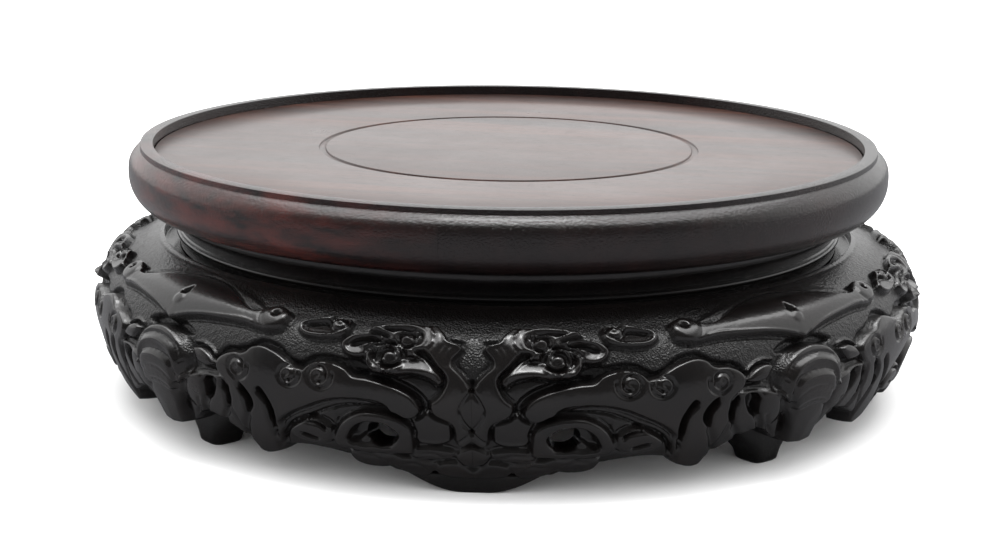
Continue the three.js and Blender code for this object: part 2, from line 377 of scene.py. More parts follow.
nose_centre = RIM_R - NOSE_R
rim_profile = [(RIM_INNER_R, RIM_BOTTOM)]
rim_profile += arc(nose_centre, NOSE_Z, NOSE_R, NOSE_Z - RIM_BOTTOM, -86, 0, 18)
rim_profile += [tuple(p) for p in spline(NOSE_TOP, per=4)[1:]]
shoulder_z = RIM_TOP - LIP_DROP
rim_profile += [(LIP_OUTER_R + 0.02, shoulder_z + 0.10)]
rim_profile += arc(LIP_OUTER_R - LIP_ROUND, RIM_TOP - LIP_ROUND - 0.1, LIP_ROUND, LIP_ROUND, 0, 84, 5)
rim_profile += [((LIP_OUTER_R + LIP_INNER_R) / 2, RIM_TOP - 0.02)]
rim_profile += arc(LIP_INNER_R + LIP_ROUND, RIM_TOP - LIP_ROUND, LIP_ROUND, LIP_ROUND, 90, 180, 5)
rim_profile += [(LIP_INNER_R, REBATE), (RIM_INNER_R, REBATE)]
# the same rosewood under a black-brown stain, with thick polished lacquer: deep and glossy
rim_wood = rosewood("stained_polished_rosewood", "#060404", "#0B0606", "#140A09", 4.5, 90, 0.24, 0.15,
                    red="#36120E", lift=1.0, peel=2.6)
RED_ARC = 3
RED_FADE = 24.0


def redness_at(spot, number):
    """How red the rim is at a place: the red arc is streaked, and fades towards its two joints."""
    blotch = noise.noise(spot * 26.0) * 0.5 + noise.noise(spot * 70.0) * 0.3
    if number != RED_ARC:
        return min(max(0.1 * blotch, 0.0), 1.0)
    turn = math.degrees(math.atan2(spot.x, -spot.y))
    inward = min(RIM_JOINT - turn, turn - RIM_JOINT + 90)
    fade = min(max(inward / RED_FADE, 0.0), 1.0)
    height = spot.z / MM
    streak = noise.noise(Vector((turn * 0.16, height * 0.28, 5.0)))
    streak += 0.7 * noise.noise(Vector((turn * 0.5, height * 0.8, 1.0)))
    return min(max(fade * (0.5 + 0.9 * streak) + 0.1 * blotch, 0.0), 1.0)


for number in range(4):
    start = RIM_JOINT + 90.0 * number
    trim = math.degrees(JOINT_HALF / RIM_R)
    rim = put(f"rim_{number + 1}", turned(rim_profile, 90 - 2 * trim, RIM_STEPS, start + trim))
    smooth(rim)
    redness = rim.data.attributes.new("redness", "FLOAT", "POINT")
    redness.data.foreach_set("value", [redness_at(vert.co, number) for vert in rim.data.vertices])
    rim.data.materials.append(rim_wood)
    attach(rim, "root")
    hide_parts(f"rim_arc_{number + 1}")

# ---------------------------------------------------------------------------
# Waist: the narrow hollow neck between rim and skirt, four moulded arcs with a
# half-round bead at the foot, stained black and polished.

WAIST_R = 97.8
WAIST_INNER_R = 88.5
WAIST_FOOT = 43.6
WAIST_TOP = 54.7
WAIST_JOINT = -18.0

BEAD_Z = 47.1
BEAD_IN = 2.2
BEAD_HIGH = 0.9
# the hollow over the bead, as how far in from the widest radius at each height
WAIST_HOLLOW = [(2.35, 48.4), (2.2, 49.0), (1.85, 49.6), (1.3, 50.4), (0.75, 51.1), (0.3, 51.8),
                (0.06, 52.5), (0, 53.2), (0.05, 54.0), (0.3, WAIST_TOP)]

waist_profile = [(WAIST_INNER_R, WAIST_FOOT), (WAIST_R - BEAD_IN, WAIST_FOOT)]
waist_profile += [(WAIST_R - BEAD_IN, BEAD_Z - BEAD_HIGH)]
waist_profile += arc(WAIST_R - BEAD_IN, BEAD_Z, 1.0, BEAD_HIGH, -80, 80, 10)
waist_profile += [(WAIST_R - inward, z) for inward, z in WAIST_HOLLOW]
waist_profile += [(WAIST_INNER_R, WAIST_TOP)]
# the darkest of the stained rosewood, polished like the rim
waist_wood = rosewood("black_polished_moulding", "#040404", "#070606", "#0C0908", 4.0, 90, 0.24, 0.15)
for number in range(4):
    start = WAIST_JOINT + 90.0 * number
    trim = math.degrees(JOINT_HALF / WAIST_R)
    waist = put(f"waist_{number + 1}", turned(waist_profile, 90 - 2 * trim, RIM_STEPS, start + trim))
    smooth(waist)
    waist.data.materials.append(waist_wood)
    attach(waist, "root")
    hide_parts(f"waist_arc_{number + 1}")

# ---------------------------------------------------------------------------
# Skirt: four thick arcs of rosewood carved outside with cloud scrolls, wings,
# waves and scaled legs over a sunk ground, pierced, stained black and waxed.
# Carving sizes are degrees from the front joint and millimetres down the face.

SKIRT_FACE = [(111.8, 4.1), (115.9, 11), (119, 19), (120.6, 27.5), (118.8, 36), (114.6, 42), (108.6, 44.9),
              (100.2, 46.6)]
SKIRT_INSIDE = [(100, 39.1), (106, 34), (109.4, 26), (107.4, 13), (105.2, 4.1)]
LEDGE_R = 87.5
LEDGE_TOP = 43.3
LEDGE_BOTTOM = 39.1
MOUTH_R = 100.2
MM_PER_DEGREE = 2.06
ARC_COLUMNS = 500
FACE_ROWS = 172


face_line = spline(SKIRT_FACE[::-1], per=60)
face_reach = np.concatenate([[0], np.cumsum(np.hypot(*np.diff(face_line, axis=0).T))])
FACE_LENGTH = face_reach[-1]


def face_point(s):
    """Radius and height on the uncarved face at s millimetres below the mouth."""
    return np.interp(s, face_reach, face_line[:, 0]), np.interp(s, face_reach, face_line[:, 1])


def face_normal(s):
    """The way out of the uncarved face there, as radius and height parts."""
    r0, z0 = face_point(np.maximum(s - 0.8, 0))
    r1, z1 = face_point(np.minimum(s + 0.8, FACE_LENGTH))
    size = np.hypot(r1 - r0, z1 - z0)
    return (z0 - z1) / size, (r1 - r0) / size


HEM = [(0, 56.7), (6, 56.7), (9.6, 56.6), (11, 55.6), (12.5, 55.4), (14.5, 54.6), (15.8, 52.6),
       (18, 51.3), (20, 50.8), (22.2, 50.6), (24.5, 51.4), (26.6, 53.4), (28.6, 54.9), (30.1, 54.3),
       (30.8, 52.4), (31.5, 50.2), (32.6, 48.6), (34.2, 46.9), (35.6, 45.7), (37.2, 45.2), (38.8, 45.9),
       (40.2, 48.2), (41.2, 49.8), (42, 50.2), (45, 50.6)]
hem_line = spline(HEM, per=10)


def hem_at(angle):
    """How far down the face the lower edge lies at this angle from the front joint."""
    return np.interp(angle, hem_line[:, 0], hem_line[:, 1])


# the eighth of the pattern that is carved; the rest of each arc mirrors it
columns = ARC_COLUMNS // 2
turn_grid, row_grid = np.meshgrid(np.linspace(0, 45, columns + 1), np.linspace(0, 1, FACE_ROWS + 1),
                                  indexing="ij")
drop_grid = row_grid * hem_at(turn_grid)
X = (turn_grid * MM_PER_DEGREE).ravel()
Y = drop_grid.ravel()
GROUND = -2.3
relief = np.interp(Y, [0, 2, 9, 46, 57], [-0.5, -0.6, GROUND, GROUND, GROUND + 0.6])
worked = np.interp(Y, [0, 6, 9, 30, 36], [0.2, 0.7, 1, 1, 0.0])


def nearby(line, margin):
    """The grid points within a margin of a line's box."""
    low, high = line.min(0) - margin, line.max(0) + margin
    return np.nonzero((X > low[0]) & (X < high[0]) & (Y > low[1]) & (Y < high[1]))[0]


def flat(points, closed=False):
    """Pattern points in millimetres on the unrolled face, joined by a smooth line."""
    points = np.asarray(points, float) * [MM_PER_DEGREE, 1.0]
    return spline(points, closed)


def distance(line, spots, closed=False):
    """Distance from each grid point to a line; for a closed line, positive inside."""
    x, y = X[spots], Y[spots]
    ends = np.roll(line, -1, axis=0) if closed else line[1:]
    best = np.full(len(spots), 1e9)
    inside = np.zeros(len(spots), bool)
    for (ax, ay), (bx, by) in zip(line, ends):
        dx, dy = bx - ax, by - ay
        size = dx * dx + dy * dy
        if size < 1e-12:
            continue
        t = np.clip(((x - ax) * dx + (y - ay) * dy) / size, 0, 1)
        best = np.minimum(best, (x - ax - t * dx) ** 2 + (y - ay - t * dy) ** 2)
        if closed:
            crossed = (ay > y) != (by > y)
            if dy:
                inside ^= crossed & (x < ax + (y - ay) * dx / dy)
    best = np.sqrt(best)
    return np.where(inside, best, -best) if closed else best


def ease(t):
    """A soft step from 0 to 1."""
    t = np.clip(t, 0, 1)
    return t * t * (3 - 2 * t)


CREASE_HALF = 0.45


def lay(outline, level, wall=0.7, dome=0.0, reach=4.0, crease=0.0, polish=True):
    """Inside an outline the wood stands at a level, reached over a wall's width.

    dome raises the middle by that much over reach millimetres, crease cuts a fine line of that
    depth round the outside, and polish leaves the inside smooth."""
    line = flat(outline, True)
    spots = nearby(line, 2.0)
    d = distance(line, spots, True)
    t = ease(d / wall)
    lift = dome * np.sqrt(np.clip(d / reach, 0, 1))
    relief[spots] = relief[spots] * (1 - t) + (level + lift) * t
    if crease:
        relief[spots] -= crease * np.exp(-(np.minimum(d, 0) / CREASE_HALF) ** 2) * (d < 0)
    if polish:
        worked[spots] *= 1 - t


def scoop(outline, top, bottom, deep, shallow, wall):
    """A hollow whose floor climbs evenly from deep at one place down the face to shallow at another."""
    line = flat(outline, True)
    spots = nearby(line, 1.0)
    t = ease(distance(line, spots, True) / wall)
    floor_level = np.interp(Y[spots], [top, bottom], [deep, shallow])
    relief[spots] = relief[spots] * (1 - t) + floor_level * t


def bead(path, wide, high, closed=False):
    """A rounded ridge, or a groove where high is below nothing, along a line."""
    line = flat(path, closed)
    spots = nearby(line, wide)
    d = np.abs(distance(line, spots, closed))
    relief[spots] += high * np.cos(np.clip(d / wide * 2, 0, 1) * math.pi / 2)


def boss(angle, s, radius, high, squash=1.0):
    """A round knob, as a low dome."""
    x, y = angle * MM_PER_DEGREE, s
    d = np.hypot(X - x, (Y - y) / squash) / radius
    inside = d < 1
    relief[inside] += high * np.sqrt(1 - d[inside] ** 2)


def pit(angle, s, radius, deep):
    """A small bowl-shaped hole, pressed with a round punch."""
    d = np.hypot(X - angle * MM_PER_DEGREE, Y - s) / radius
    relief[:] -= deep * np.exp(-d ** 4)


def ring(angle, s, wide, high):
    """Points of an ellipse in degrees and millimetres; its two sizes are in millimetres."""
    turns = np.radians(np.linspace(0, 360, 20, endpoint=False))
    return [(angle + wide * math.cos(t) / MM_PER_DEGREE, s - high * math.sin(t)) for t in turns]


def whorl(angle, s, outer, inner, first, turns):
    """Points of a scroll that winds in from its outer radius, starting at an angle in degrees."""
    points = []
    for share in np.linspace(0, 1, 36):
        radius = outer + (inner - outer) * share
        at = math.radians(first + 360 * turns * share)
        points.append((angle + radius * math.cos(at) / MM_PER_DEGREE, s - radius * math.sin(at)))
    return points


# hollow under the strap's tip, and the strap that runs across each leg between two knobs
lay([(39.6, 24), (40.6, 22.2), (42.2, 20.8), (44, 21.2), (46, 21.2), (46.4, 23.2), (44.4, 24.2),
     (41.6, 24.8)], -4.4, 0.8, polish=False)
lay([(29, 11.5), (31, 8), (34, 5), (38, 2.5), (45, 1), (50, 1), (50, 12), (33, 12.5)], -1, 3, polish=False)
STRAP = [(25.1, 13.2), (25.4, 16.2), (26.4, 17.9), (27.9, 18.5), (30.1, 18.1), (31.4, 17.8), (33.9, 17.8),
         (36.4, 18.2), (39, 18.8), (41.6, 19.8), (44, 21.4), (45, 22.4), (46, 21.4), (50, 19.4),
         (50, 3), (45, 3), (41, 4), (37.6, 6.4), (34.6, 9.4), (32.6, 11.2), (31, 11.8),
         (30, 10.8), (29.2, 9.4), (27.6, 8.8), (26, 9.5), (25.2, 11.2)]
lay(STRAP, -0.75, 1.1, dome=0.3, reach=4.5, crease=0.3)
bead([(25.2, 13.2), (25.5, 16.3), (26.5, 18.2), (28, 18.9), (30.1, 18.6), (31.4, 18.3), (33.9, 18.3),
      (36.4, 18.7), (39, 19.3), (41.6, 20.4), (44, 22)], 1.1, -0.45)
bead([(30.4, 16.9), (32, 16.5), (33.9, 16.7), (36.4, 17.1), (39, 17.7), (41.4, 18.7), (43.6, 20.2)],
     1.4, 0.3)
lay(ring(27.6, 13.4, 4.1, 4.2), -0.35, 1.1, dome=0.25, reach=3.8, crease=0.3)
pit(27.3, 12.9, 0.95, 1.8)
lay([(45, 9.4), (45.4, 11), (45.7, 12.6), (45, 13.6), (44.3, 12.6), (44.6, 11)], -2.4, 0.6, polish=False)
boss(45, 15.2, 2, 0.35)

# fan of scales over the leg: three rolls, each behind the next, then the shin
lay([(39, 33.6), (39.3, 29.2), (40.6, 25.8), (42.5, 23.4), (45, 22.5), (47.5, 23.4), (49.6, 25.8),
     (50.8, 29.2), (51.4, 36), (49.6, 40), (48.2, 46), (47.6, 56), (42.4, 56), (41.8, 46), (40.4, 40),
     (38.8, 36.4)], 0.5, 2.4, dome=0.5, reach=6, crease=0.5)
bead([(39.9, 33.4), (40.2, 29.6), (41.3, 26.6), (43, 24.6), (45, 23.9), (47, 24.6)], 1.7, 0.5)
lay([(40, 34.2), (40.4, 30.3), (41.8, 27.6), (45, 26.2), (48.2, 27.6), (49.6, 30.3), (50, 34.2),
     (49.4, 38), (40.6, 38)], 1.4, 1.2, dome=0.3, reach=3, crease=0.6)
bead([(40.9, 33.8), (41.3, 30.9), (42.6, 28.7), (45, 27.6), (47.2, 28.4)], 1.5, 0.4)
lay([(41.3, 34.6), (41.7, 32.2), (43, 30.8), (45, 30.3), (47, 30.8), (48.3, 32.2), (48.7, 34.6),
     (48, 38), (42, 38)], 2.2, 1.1, dome=0.3, reach=3, crease=0.6)
lay([(41.8, 37), (43.2, 34.9), (45, 34.2), (46.8, 34.9), (48.2, 37), (48, 40), (45, 41), (42, 40)],
    2.3, 1, dome=0.2, reach=2.5, crease=0.4)
lay([(41.7, 43.5), (42.2, 39.9), (43.3, 38.4), (45, 37.8), (46.7, 38.4), (47.8, 39.9), (48.3, 43.5),
     (47.9, 48), (47.4, 57), (42.6, 57), (42.1, 48)], 1.1, 1.8, dome=0.9, reach=6, crease=0.5)

# knuckle beside the fan, with its raised edge
lay([(33.8, 30.8), (34.6, 28.4), (35.7, 26.2), (37.2, 25.2), (39, 25.6), (39.5, 27.2), (38.9, 29.4),
     (37.8, 31.9), (35.4, 32.3)], -3, 0.6, polish=False)
lay([(34.4, 30.4), (35.1, 28.4), (36.1, 26.9), (37.3, 26.2), (38.6, 26.6), (38.9, 27.6), (38.4, 29.3),
     (37.5, 31.1), (35.5, 31.4)], -0.7, 0.8, dome=0.6, reach=2.5)
bead([(34.2, 29.6), (35, 27.6), (36, 26.2), (37.4, 25.4), (38.8, 25.8)], 1.1, 1.3)

# the flank below the knuckle, with its thin upper edge, running on into the leg
lay([(26, 34), (30, 33.2), (34, 32.6), (38.6, 33.6), (40.2, 35.6), (41.4, 38.6), (41.6, 43),
     (41.8, 52), (39.8, 48.8), (37.2, 46), (34.4, 48), (31.8, 51.6), (30.2, 56), (27.6, 57), (25.4, 53),
     (25, 46), (25.4, 38)], -0.9, 0.9, dome=0.5, reach=3)
bead([(34.2, 32.6), (36.4, 32.4), (38.8, 33.8), (40.2, 35.8)], 1, 0.5)
bead([(40.6, 35.6), (40.4, 38.6), (41, 42), (41.5, 47)], 1.4, -0.9)
bead([(38, 40.6), (38.4, 43), (39.6, 46.6)], 1.4, -0.4)
boss(38.6, 38.6, 4.6, 0.9, 1.3)

# wavelets along the hem
WAVELETS = [
    [(9, 50.2), (11.4, 48.6), (14, 48), (15.8, 49.2), (16.2, 51.6), (15, 54.6), (12.4, 55.4), (9.8, 54)],
    [(4.2, 53), (5.2, 50.6), (7.6, 49.8), (10, 50.8), (10.8, 53), (9.4, 56.2), (6, 57.4)],
    [(0, 54), (1.6, 51.2), (3.6, 51.4), (5, 53.6), (4.4, 56.8), (0, 58), (-4.4, 56.8), (-5, 53.6),
     (-3.6, 51.4), (-1.6, 51.2)],
    [(2.2, 47.2), (4.4, 46.2), (7, 46.8), (8.6, 48.8), (7.4, 50.6), (4.8, 51.2), (2.2, 49.8)],
    [(0, 45.4), (1.7, 47.4), (2.3, 49.8), (1.5, 52.2), (0, 53.2), (-1.5, 52.2), (-2.3, 49.8),
     (-1.7, 47.4)],
]
lay([(-9, 44), (9, 44), (17, 46), (18.6, 52), (16, 58), (-9, 60)], -1.9, 1.2)
for wavelet in WAVELETS:
    lay(wavelet, -1.1, 0.9, dome=0.6, reach=2.6, crease=0.4)
bead([(3.4, 49.4), (5, 48.2), (7, 48.6)], 1, -0.45)
bead([(5.8, 54.4), (7.2, 52.2), (9.2, 52.8)], 1, -0.45)
bead([(11.4, 52.6), (12.6, 50.6), (14.4, 50.8)], 1, -0.45)

# curl at the lower edge, the band round the pierced eye, and the hollows between
lay([(17.2, 36.5), (20.4, 38.6), (22.9, 41.6), (24.9, 46), (25.4, 51), (22, 52.5), (18, 52.5), (16.8, 47),
     (16.9, 41)], -1.8, 0.8)
lay([(17.5, 46.6), (17.5, 43.2), (18.3, 41.2), (19.6, 40.2), (21.2, 40.7), (22.9, 42.6), (24.2, 45.2),
     (23.6, 47.4), (21.4, 48.8), (18.8, 48.4)], -0.5, 1, dome=0.5, reach=3, crease=0.5)
lay([(18.3, 43.4), (18.7, 42), (19.8, 41.2), (21, 41.4), (21.8, 42.2), (20.6, 42.2), (19.4, 42.6),
     (18.7, 43.8)], -2.6, 0.6)
lay([(19.4, 46.4), (20.6, 45.4), (22, 44.9), (22.4, 45.6), (21.4, 46.5), (20, 47)], -1.8, 0.6)
BAND = [(7.4, 48.4), (7.1, 44.2), (7.4, 40.6), (8.4, 38.2), (10.2, 36.9), (12.2, 36.5), (13.9, 36.9),
        (15.4, 38.4), (16.7, 40.9), (17.6, 44.2), (17.8, 47), (16.8, 49), (13, 49.5), (10, 49.4)]
lay(BAND, -0.6, 0.8, dome=0.5, reach=1.8, crease=0.7)
lay([(9, 43.4), (9.5, 41), (11, 39.5), (12.8, 39.2), (14.3, 40.6), (15.3, 43), (15.9, 46),
     (15.2, 47), (13.8, 46.4), (12.2, 47), (10.2, 46.8)], -3, 0.8)
lay([(12.6, 47), (12.9, 44.6), (13.3, 43.6), (13.9, 44.6), (14.6, 46.2), (14.4, 47.4)], -1.6, 0.8)

# sunk leaf under the cloud, then the wing that sweeps over it
lay([(4.1, 28.4), (4.7, 27), (6.5, 25.8), (8.5, 26.3), (10.9, 26.8), (12.9, 26.6), (10.5, 29),
     (7.3, 31.8), (6, 34.2), (5.4, 35), (5, 33.4), (4.3, 31.5), (3.9, 29.9)], -2, 0.7)
lay([(2.6, 38.6), (4.4, 37.4), (5.4, 35.6), (6.1, 37.2), (7.4, 38.8), (7.1, 41.8), (7.1, 44.6), (5, 46),
     (3.2, 45.2), (2.4, 43.2), (2.3, 40.8)], -1.5, 0.8, dome=0.3, reach=3)
bead([(2.8, 43.8), (4.4, 44.9), (6.4, 44.7)], 1.1, 0.5)
lay([(13.2, 23.6), (14.4, 22.4), (16.2, 22.8), (16.2, 24.6), (15, 26.4), (13.4, 27.4), (12.8, 26)],
    -4, 0.8, polish=False)
OVER_WING = [(15.2, 23.6), (16.6, 22.4), (18.6, 22), (20.2, 22.6), (21.2, 23.9), (22.1, 24.9),
             (23.4, 24.4), (25, 21.8), (27, 20.4), (28.6, 20.7), (30, 22.6), (31.6, 23.9),
             (33.4, 24.6), (34.6, 27), (34, 30), (24, 31), (16, 29)]
lay(OVER_WING, -3.6, 0.6, polish=False)
bead([(5.6, 35.4), (5.7, 33.2), (6.6, 30.8), (8.2, 28.7), (10.3, 27.2), (12.4, 26.4), (14.4, 26.1)],
     2, -1.5)
WING = [(6, 34.7), (6.9, 31.4), (8.5, 29.4), (10.5, 28.1), (12.6, 27.2), (14.5, 26.9), (15.2, 25.6),
        (16.2, 24.6), (17.8, 23.9), (19.4, 24.1), (20.6, 25.2), (21.4, 26.6), (21.4, 26.6), (22.6, 26.2),
        (23.7, 24.6), (25.4, 23), (27.4, 22.1), (29.1, 22.9), (30.2, 24.7), (32.1, 25.3), (33.5, 26.5),
        (34.5, 28.4), (34.6, 30.6), (33.8, 32.8), (32.4, 35), (32.6, 41), (30.8, 51), (30, 55.4),
        (28.6, 56.4), (26.6, 54.6), (25.4, 51.4), (25.4, 48.4), (25.2, 44.7), (24.3, 42.5), (22.7, 40.1),
        (20.6, 37.9), (18.6, 35.9), (16.6, 34.6), (14.6, 34), (12.6, 34.1), (10.6, 34.8), (9.6, 36.4),
        (8.4, 37.9), (7.4, 38.2), (6.4, 37)]
lay(WING, -0.35, 0.8, dome=0.35, reach=5, crease=0.5)
bead([(15.4, 25.9), (16.4, 25.1), (17.9, 24.5), (19.2, 24.7), (20.2, 25.7)], 0.9, 0.35)
# ribbon along the wing's lower edge
RIBBON = [(9.7, 36), (10.7, 34.9), (12.6, 34.4), (14.6, 34.5), (16.6, 35.2), (18.6, 36.7),
          (20.6, 38.8), (22.7, 41.1), (24.3, 43.6), (25.2, 46), (25.8, 49.5)]
bead(RIBBON, 2.1, 0.75)
bead([(a + 0.5, s - 1.25) for a, s in RIBBON], 0.8, -0.8)
bead([(a - 0.35, s + 1.2) for a, s in RIBBON], 1, -1.1)
bead([(12.4, 32.6), (14.4, 32.2), (16.8, 32.5)], 0.7, -0.3)
# curls cut into the wing
for angle, s, size in ((18.9, 28.2, 3.7), (23.1, 28.9, 3.3), (30.7, 29.4, 3.5)):
    bead(whorl(angle, s, size, 1.5, 165, 1.3), 1, -0.75)
    bead(whorl(angle, s, size - 0.8, 0.7, 165, 1.25), 1.2, 0.4)

# claws: the flank is cut through between them with crescent gouge cuts that run out downwards
CUTS = [
    [(27.2, 33.4), (28, 34.8), (27.3, 37.2), (26.8, 40.2), (26.7, 43.6), (26.3, 46.4), (25.7, 43.6),
     (25.6, 40.2), (26, 37)],
    [(30.3, 33.4), (30.9, 35), (30.4, 37.4), (30.1, 40), (30.1, 43.4), (29.5, 41.9), (28.7, 39.6),
     (28.7, 37.2), (29.4, 34.8)],
    [(33.5, 33.8), (33.9, 35.6), (33.5, 38.4), (33.6, 41), (33.8, 44.2), (33, 42), (32.3, 39.2),
     (32.3, 36.8), (32.8, 34.8)],
    [(34.6, 33.9), (36.1, 34), (37, 35.8), (37, 38.6), (36.9, 41.2), (35.7, 40), (34.9, 37.6),
     (34.5, 35.4)],
]
for cut in CUTS:
    lay(cut, -3.8, 0.9)
for valley in ([(26.1, 46), (25.9, 49), (26, 52)], [(29.9, 43), (30.7, 46.6), (31.2, 50.8)],
               [(33.6, 43.6), (34.4, 46), (34.8, 48)], [(36.8, 41), (37.6, 43.6), (38, 46.4)]):
    bead(valley, 2.4, -0.9)

# stems that rise on each side of the front joint, and the drop-shaped lozenge between them
STEM = [(5.4, 10.6), (3.9, 12.6), (3.2, 15), (2.9, 15.9), (1.5, 16.8), (1.1, 18), (1.4, 19.4),
        (2.3, 22), (1.4, 24.2), (0.5, 26.3), (0, 28), (-2.5, 32), (-2.5, 40), (0, 44.5),
        (1.2, 46), (2.2, 44.6), (2.3, 41), (2.7, 38.8), (4.2, 37.2), (5, 35.5), (5.1, 32.9),
        (4.2, 31), (3.6, 29), (3.4, 26.3), (4.4, 23.6), (5.6, 20.4), (7.4, 17), (7.4, 12)]
lay(STEM, -0.6, 0.9, dome=0.6, reach=2.6, crease=0.7)
bead([(4.9, 11.6), (3.9, 13.4), (3.6, 15.6), (3.2, 16.8), (2, 17.7)], 1.1, 0.5)
for k in range(3):
    bead([(1.9 + 0.9 * k, 18), (2.8 + 0.7 * k, 20.4), (3.0 + 0.3 * k, 23)], 1, -0.3)
lay([(1, 15.9), (1.4, 14.8), (2.9, 14.2), (3, 15.3), (1.6, 16.3)], -3.4, 0.6, polish=False)
LOZENGE = [(0, 29.2), (0, 29.2), (0.95, 31.8), (1.5, 35), (1.05, 37.9), (0, 40.6), (0, 40.6),
           (-1.05, 37.9), (-1.5, 35), (-0.95, 31.8)]
lay(LOZENGE, -0.85, 0.5, dome=0.35, reach=2)
bead(LOZENGE, 1, -1.2, True)
bead([(0, 26.6), (0, 29.2)], 1, -1)
bead([(0, 40.6), (0.9, 42.6), (2, 44.4)], 1, -0.8)

# third cloud scroll, the smallest, high on the right
THIRD = [(16, 12.6), (16.3, 10.6), (17.6, 9.4), (19.4, 9.8), (21, 11.6), (22.7, 13), (23.5, 15.1),
         (22.9, 17.3), (21.6, 18.4), (19.8, 18.4), (18.2, 17.9), (16.7, 17.1), (16.1, 15.2)]
lay(THIRD, -0.25, 0.8, crease=0.9)
scoop([(19, 12.4), (21, 13), (22.5, 14.4), (22.5, 16.2), (21.4, 17.3), (19.6, 17.3), (18, 16.8),
       (17.6, 15.6), (18.8, 14.4)], 14.4, 17.2, -1.5, -0.7, 0.5)
bead([(18.9, 12.9), (20.4, 13.2), (21.9, 14.3)], 1.5, -1.1)
lay(ring(17.9, 12.6, 3.2, 3.1), -2.2, 0.8)
boss(17.9, 12.6, 2.4, 2)
bead(whorl(17.9, 12.6, 1.6, 0.5, 60, 1), 0.7, -0.5)
bead(THIRD, 1.2, 0.45, True)

# cloud base and the big scroll
BASE = [(9.9, 17.6), (11.6, 17.9), (12.9, 19.3), (13.4, 21.6), (13.2, 24), (12.2, 25.9), (10.4, 26.7),
        (8.9, 26.4), (7.5, 25.8), (5.9, 26.2), (4.7, 27.3), (4, 28.6), (3.2, 27.2), (3.7, 25),
        (4.9, 22.6), (6.4, 20.4), (8, 18.4)]
lay(BASE, -0.25, 0.8, crease=0.9)
scoop([(4.2, 26.2), (4.7, 24), (6, 21.4), (7.8, 20.6), (8.7, 23.2), (10.4, 24.4), (12.2, 23.4),
       (12.4, 24.6), (10.8, 25.9), (8.8, 25.6), (7.3, 24.9), (5.8, 25.2)], 21.4, 25.4, -2.1, 0.6, 0.6)
lay(ring(10.3, 21.2, 5, 3.6), -2.2, 0.7)
bead(whorl(10.3, 21.2, 3.9, 1.9, 200, 1.35), 1.2, 1.4)
boss(10.3, 21.3, 1.9, 1.5)
bead([(8.4, 18.7), (9.8, 18.2), (11.5, 18.5), (12.6, 19.8), (12.9, 21.6), (12.7, 23.8), (11.9, 25.4),
      (10.4, 26.1), (8.9, 25.9), (7.5, 25.3), (5.9, 25.7), (4.6, 26.8)], 1, 0.5)

# second lobe
LOBE = [(9.3, 16.9), (10.8, 15.7), (13.2, 15), (15, 15.4), (16.1, 16.6), (16.8, 18.5), (16.6, 20.4),
        (15.8, 21.9), (14.6, 22.6), (13.3, 22), (13, 20.2), (12.2, 18.5), (10.8, 17.5)]
lay(LOBE, -0.25, 0.8, crease=0.9)
lay([(10.4, 16.9), (12.8, 16.2), (14.6, 16.6), (15.5, 18), (15.8, 19.6), (14.4, 19.4), (12.8, 18.2)],
    -2.6, 0.8)
scoop([(13.7, 19.2), (15.9, 18.9), (15.9, 20.2), (15.1, 21.6), (14.1, 22), (13.6, 20.8)],
      18.8, 22, -1.3, -0.1, 0.5)
bead(LOBE, 1.1, 0.45, True)

# head scroll
HEAD = [(13.8, 13.5), (12.6, 12), (10.6, 11), (8.5, 10.6), (6.9, 10.9), (5.8, 12.3), (5.1, 14.2),
        (4.9, 16.3), (5.4, 18.4), (6.5, 19.6), (7.8, 19.8), (9, 18.9), (10, 17.2), (11, 15.6),
        (12.4, 14.5)]
lay(HEAD, -0.25, 0.8, crease=0.9)
lay([(12, 13), (10.4, 12.2), (8.5, 11.9), (7.2, 12.6), (6.7, 14), (8.6, 13.8), (10.6, 14.6)], -2.1, 1)
scoop([(6.3, 14.2), (7.2, 13.4), (7.4, 15.6), (7.6, 18), (7.2, 18.8), (6.3, 17.6)],
      13.6, 18.6, -2.2, -0.3, 0.6)
lay(ring(8.3, 16.3, 3, 2.9), -2.4, 0.6)
bead(HEAD, 1.1, 0.45, True)
boss(8.3, 16.3, 2.2, 2.2)
bead(whorl(8.3, 16.3, 1.5, 0.5, 30, 0.9), 0.7, -0.5)

# plain worked ground gets small chisel facets; everything is eased as rubbing and wax leave it
relief = relief.reshape(turn_grid.shape)
worked = np.clip(worked.reshape(turn_grid.shape), 0, 1)
for _ in range(2):
    padded = np.pad(relief, 1, mode="edge")
    relief = (padded[1:-1, 1:-1] * 4 + padded[:-2, 1:-1] + padded[2:, 1:-1] + padded[1:-1, :-2]
              + padded[1:-1, 2:]) / 8
CHIP_SMOOTH = 0.02
CHIP_GROUND = 0.09


def chip(x, y):
    """How high the chisel left the wood at a place on the unrolled face, about 1 either way."""
    return noise.noise(Vector((x * 0.9, y * 0.9, 3.0))) + noise.noise(Vector((x * 2.1, y * 2.1, 9.0)))


chips = np.array([chip(x, y) for x, y in zip(X, Y)]).reshape(relief.shape)
relief += chips * (CHIP_SMOOTH + CHIP_GROUND * worked)

LEAST_THICK = 2.5
HEM_ROUND = 0.25
# painted shade: the carving's colour is darkened fully where it is sunk this many millimetres
FULL_SHADE_DEPTH = 3.5
EYE_TURN = 11.4
EYE_Z = 16.6
EYE_WIDE = 4.0
EYE_HIGH = 3.5


